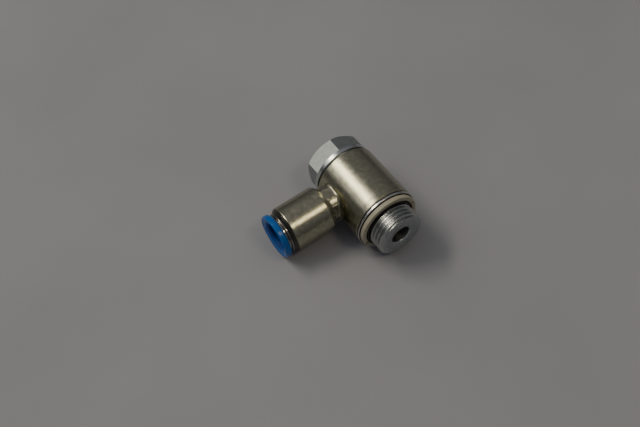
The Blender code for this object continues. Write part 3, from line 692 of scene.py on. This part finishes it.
ring_piece(
    "connector_inner_body",
    [(11.3, PASSAGE, 0.1), (11.3, PLUG, 0.3), (12.6, PLUG), (12.6, SEAL_GROOVE, 0.1),
     (14.5, SEAL_GROOVE, 0.1), (14.5, PLUG), (STRIP[0], PLUG), (STRIP[0], 9.0, 0.1),
     (STRIP[1], 9.5, 0.2), (STRIP[1], 8.5), (27.0, HOUSING, 0.1), (27.0, TUBE_HOLE, 0.2),
     (20.6, TUBE_HOLE), (20.6, PASSAGE, 0.2)],
    PORT, "swivel_body", PLATED, ["connector_body"])
ring_piece(
    "connector_outer_sleeve",
    [(SLEEVE_START, SLEEVE_BORE), (SLEEVE_START, SLEEVE_RADIUS, 0.4),
     (35.4, SLEEVE_RADIUS, 0.04), (35.66, 10.10, 0.03), (SLEEVE_END, 9.85),
     (SLEEVE_END, SLEEVE_BORE)],
    PORT, "swivel_body", PLATED, ["connector_sleeve"])
# The lip is part of the plated sleeve; its near-black colour is painted shade and dark
# reflection.
ring_piece(
    "polished_sleeve_lip",
    [(LIP_START, LIP_BORE), (LIP_START, 10.05, 0.03), (36.5, 9.5, 0.8),
     (LIP_END, 8.85, 0.12), (LIP_END, LIP_BORE)],
    PORT, "swivel_body", LIP_PAINTED_SHADE, ["connector_sleeve"])
ring_piece(
    "bright_mouth_collar",
    [(36.3, 7.75), (36.3, HOUSING), (37.25, HOUSING), (37.25, 8.95, 0.15), (38.05, 8.92, 0.35),
     (38.1, 8.0, 0.1), (38.8, 8.0, 0.1), (38.8, 7.2, 0.1), (37.7, 7.2), (37.7, 7.75)],
    PORT, "swivel_body", COLLAR_CHROME, ["mouth_collar"])
collar = ring_piece(
    "release_collar",
    [(33.4, TUBE_HOLE, 0.05), (33.4, 6.6, 0.15), (33.75, 6.75, 0.2), (35.1, 6.75, 0.2),
     (35.4, 7.6, 0.1), (36.2, 7.6, 0.1), (36.2, 7.1), (39.05, 7.1), (39.05, 9.3, 0.2),
     (39.7, 9.74, 0.4), (41.35, 9.72, 0.3), (41.8, 9.25, 0.2), (41.2, 7.0, 0.12),
     (40.3, TUBE_HOLE, 0.2)],
    PORT, "release", BLUE, ["release_ring"])
# Faces inside the bore take the darker blue as painted shade.
paint(collar, BLUE_BORE_SHADE, lambda height, radius: radius < 6.85 * MM)
ring_piece(
    "tube_lip_seal",
    [(27.2, 6.6, 0.1), (27.2, HOUSING), (30.1, HOUSING), (30.1, 6.5, 0.1), (29.5, 5.95, 0.2),
     (28.3, 5.95, 0.3)],
    PORT, "swivel_body", RUBBER_AND_SHADE, ["tube_seal"])
ring_piece(
    "claw_support_ring",
    [(30.3, TUBE_HOLE, 0.1), (30.3, HOUSING), (31.6, HOUSING), (31.6, TUBE_HOLE, 0.1)],
    PORT, "swivel_body", WHITE, ["support_ring"])
claw = ring_piece(
    "tube_claw",
    [(32.6, 6.45), (32.6, 6.77), (35.6, HOUSING), (36.1, HOUSING), (36.1, 8.1), (35.6, 8.1)],
    PORT, "swivel_body", STEEL, ["grip_claw"])
carve(claw, [bar(0.7, 16.4, 31.6, 35.1, (index + 0.5) * math.pi / 4) for index in range(4)])

# ---------------------------------------------------------------- regulating screw
SCREW_START = -9.6
SCREW_END = 19.4
SCREW_HEAD = 3.6
SCREW_ROOT = 4.3
SCREW_CREST = 4.9
SCREW_SHANK = 3.9
SCREW_GROOVE = 2.6
NEEDLE_STEM = 2.4
NEEDLE = 2.88
screw_outline = [(SCREW_START, 0.0), (SCREW_START, 3.35), (-9.5, 3.5), (-9.3, SCREW_HEAD),
                 (-5.1, SCREW_HEAD), (-5.1, SCREW_ROOT)]
for turn in range(3):
    base = -4.9 + turn
    screw_outline += [(base, SCREW_ROOT), (base + 0.35, SCREW_CREST), (base + 0.6, SCREW_CREST)]
screw_outline += [
    (-1.2, SCREW_ROOT), (-1.2, SCREW_SHANK), (4.5, SCREW_SHANK), (4.5, SCREW_GROOVE),
    (6.3, SCREW_GROOVE), (6.3, SCREW_SHANK), (7.2, SCREW_SHANK), (7.6, NEEDLE_STEM),
    (13.0, NEEDLE_STEM), (13.9, NEEDLE), (15.2, NEEDLE), (17.0, 2.1), (19.0, 1.1), (19.3, 0.8),
    (SCREW_END, 0.5), (SCREW_END, 0.0)]
screw = add_piece(
    "needle_screw", revolve("needle_screw", screw_outline, FINE, closed=False), BOLT, "screw",
    BRASS, ["regulating_screw"])
carve(screw, [bar(1.2, 12.0, -10.6, -8.1)])
soften_edges(screw, 0.06)
ring_piece(
    "screw_retaining_ring",
    [(-10.5, 3.7, 0.1), (-10.5, 6.12, 0.15), (-9.3, 6.12, 0.1), (-9.3, 3.7, 0.1)],
    BOLT, "bolt", STEEL, ["screw_retainer"], FINE)

# ---------------------------------------------------------------- CAD pieces kept as they are
for node, finish in (
        ("upper_swivel_seal", RUBBER_AND_SHADE), ("lower_swivel_seal", RUBBER_AND_SHADE), ("check_lip_seal", RUBBER_AND_SHADE),
        ("connector_seal", RUBBER_AND_SHADE), ("regulating_screw_seal", RUBBER_AND_SHADE), ("clamp_ring", BRASS)):
    item = frame["nodes"][node]
    item.data.materials.clear()
    item.data.materials.append(finish)

# ---------------------------------------------------------------- floor, light and camera
TABLE_SIZE = 1.6               # metres


def floor_material():
    """Pale matt table top with a faint grain."""
    n = Nodes("pale_table")
    place = n.add("ShaderNodeTexCoord").outputs["Object"]
    cloud = n.noise(place, 9.0, 3.0, 0.5)
    grain = n.noise(place, 2500.0, 2.0, 0.6)
    both = n.math("ADD", n.math("MULTIPLY", cloud, 0.7), n.math("MULTIPLY", grain, 0.3))
    n.link(n.ramp(both, [(0.35, (0.290, 0.292, 0.332)), (0.65, (0.328, 0.330, 0.374))]),
           n.shader.inputs["Base Color"])
    n.shader.inputs["Roughness"].default_value = 0.75
    bump = n.add("ShaderNodeBump", Strength=0.2, Distance=0.0001)
    n.link(grain, bump.inputs["Height"])
    n.link(bump.outputs["Normal"], n.shader.inputs["Normal"])
    return n.material


floor_shape = bmesh.new()
bmesh.ops.create_grid(floor_shape, x_segments=4, y_segments=4, size=TABLE_SIZE)
floor_mesh = finished_mesh("table", floor_shape)
floor_mesh.materials.append(floor_material())
floor = bpy.data.objects.new("table", floor_mesh)
floor.location.z = cad_bounds[0][2]
bpy.context.scene.collection.objects.link(floor)

centre = (Vector(cad_bounds[0]) + Vector(cad_bounds[1])) / 2
aim = centre + Vector((-2.4, -6.6, 0.0)) * MM


def place_looking(item, direction, distance, target):
    """Put an item along a direction from the target, facing it."""
    item.location = target + Vector(direction).normalized() * distance
    item.rotation_euler = (target - item.location).to_track_quat("-Z", "Y").to_euler()
    bpy.context.scene.collection.objects.link(item)


def soft_light(name, direction, distance, width, height, power, colour):
    """Rectangular light that faces the part. Sizes are in metres and power is in watts."""
    light = bpy.data.lights.new(name, "AREA")
    light.shape = "RECTANGLE"
    light.size = width
    light.size_y = height
    light.energy = power
    light.color = colour
    item = bpy.data.objects.new(name, light)
    place_looking(item, direction, distance, aim)


soft_light("key", (-0.50, -0.40, 0.76), 2.0, 1.11, 0.28, 13.0, (1.0, 0.93, 0.68))
soft_light("key_spread", (-0.48, -0.46, 0.74), 2.0, 1.57, 1.70, 6.5, (1.0, 0.99, 0.98))
soft_light("overhead", (0.475, 0.155, 0.866), 1.4, 0.34, 0.175, 2.1, (1.0, 0.88, 0.56))

world = bpy.data.worlds.new("studio")
bpy.context.scene.world = world
world.use_nodes = True
sky = world.node_tree
sky_place = sky.nodes.new("ShaderNodeTexCoord")
sky_split = sky.nodes.new("ShaderNodeSeparateXYZ")
sky_ramp = sky.nodes.new("ShaderNodeValToRGB")
sky.links.new(sky_place.outputs["Generated"], sky_split.inputs[0])
sky.links.new(sky_split.outputs["Z"], sky_ramp.inputs["Fac"])
sky_ramp.color_ramp.elements[0].position = 0.0
sky_ramp.color_ramp.elements[0].color = (0.074, 0.076, 0.077, 1.0)
sky_ramp.color_ramp.elements[1].position = 1.0
sky_ramp.color_ramp.elements[1].color = (0.25, 0.25, 0.262, 1.0)
sky.links.new(sky_ramp.outputs["Color"], sky.nodes["Background"].inputs["Color"])

AZIMUTH = math.radians(55.708)
ELEVATION = math.radians(53.002)
CAMERA_DISTANCE = 0.3686       # metres
SENSOR_WIDTH = 36.0
LENS_LENGTH = 50.625
view_direction = (
    math.sin(AZIMUTH) * math.cos(ELEVATION),
    -math.cos(AZIMUTH) * math.cos(ELEVATION),
    math.sin(ELEVATION))
lens = bpy.data.cameras.new("camera")
lens.sensor_width = SENSOR_WIDTH
lens.lens = LENS_LENGTH
lens.clip_start = 0.01
camera = bpy.data.objects.new("camera", lens)
place_looking(camera, view_direction, CAMERA_DISTANCE, aim)
bpy.context.scene.camera = camera
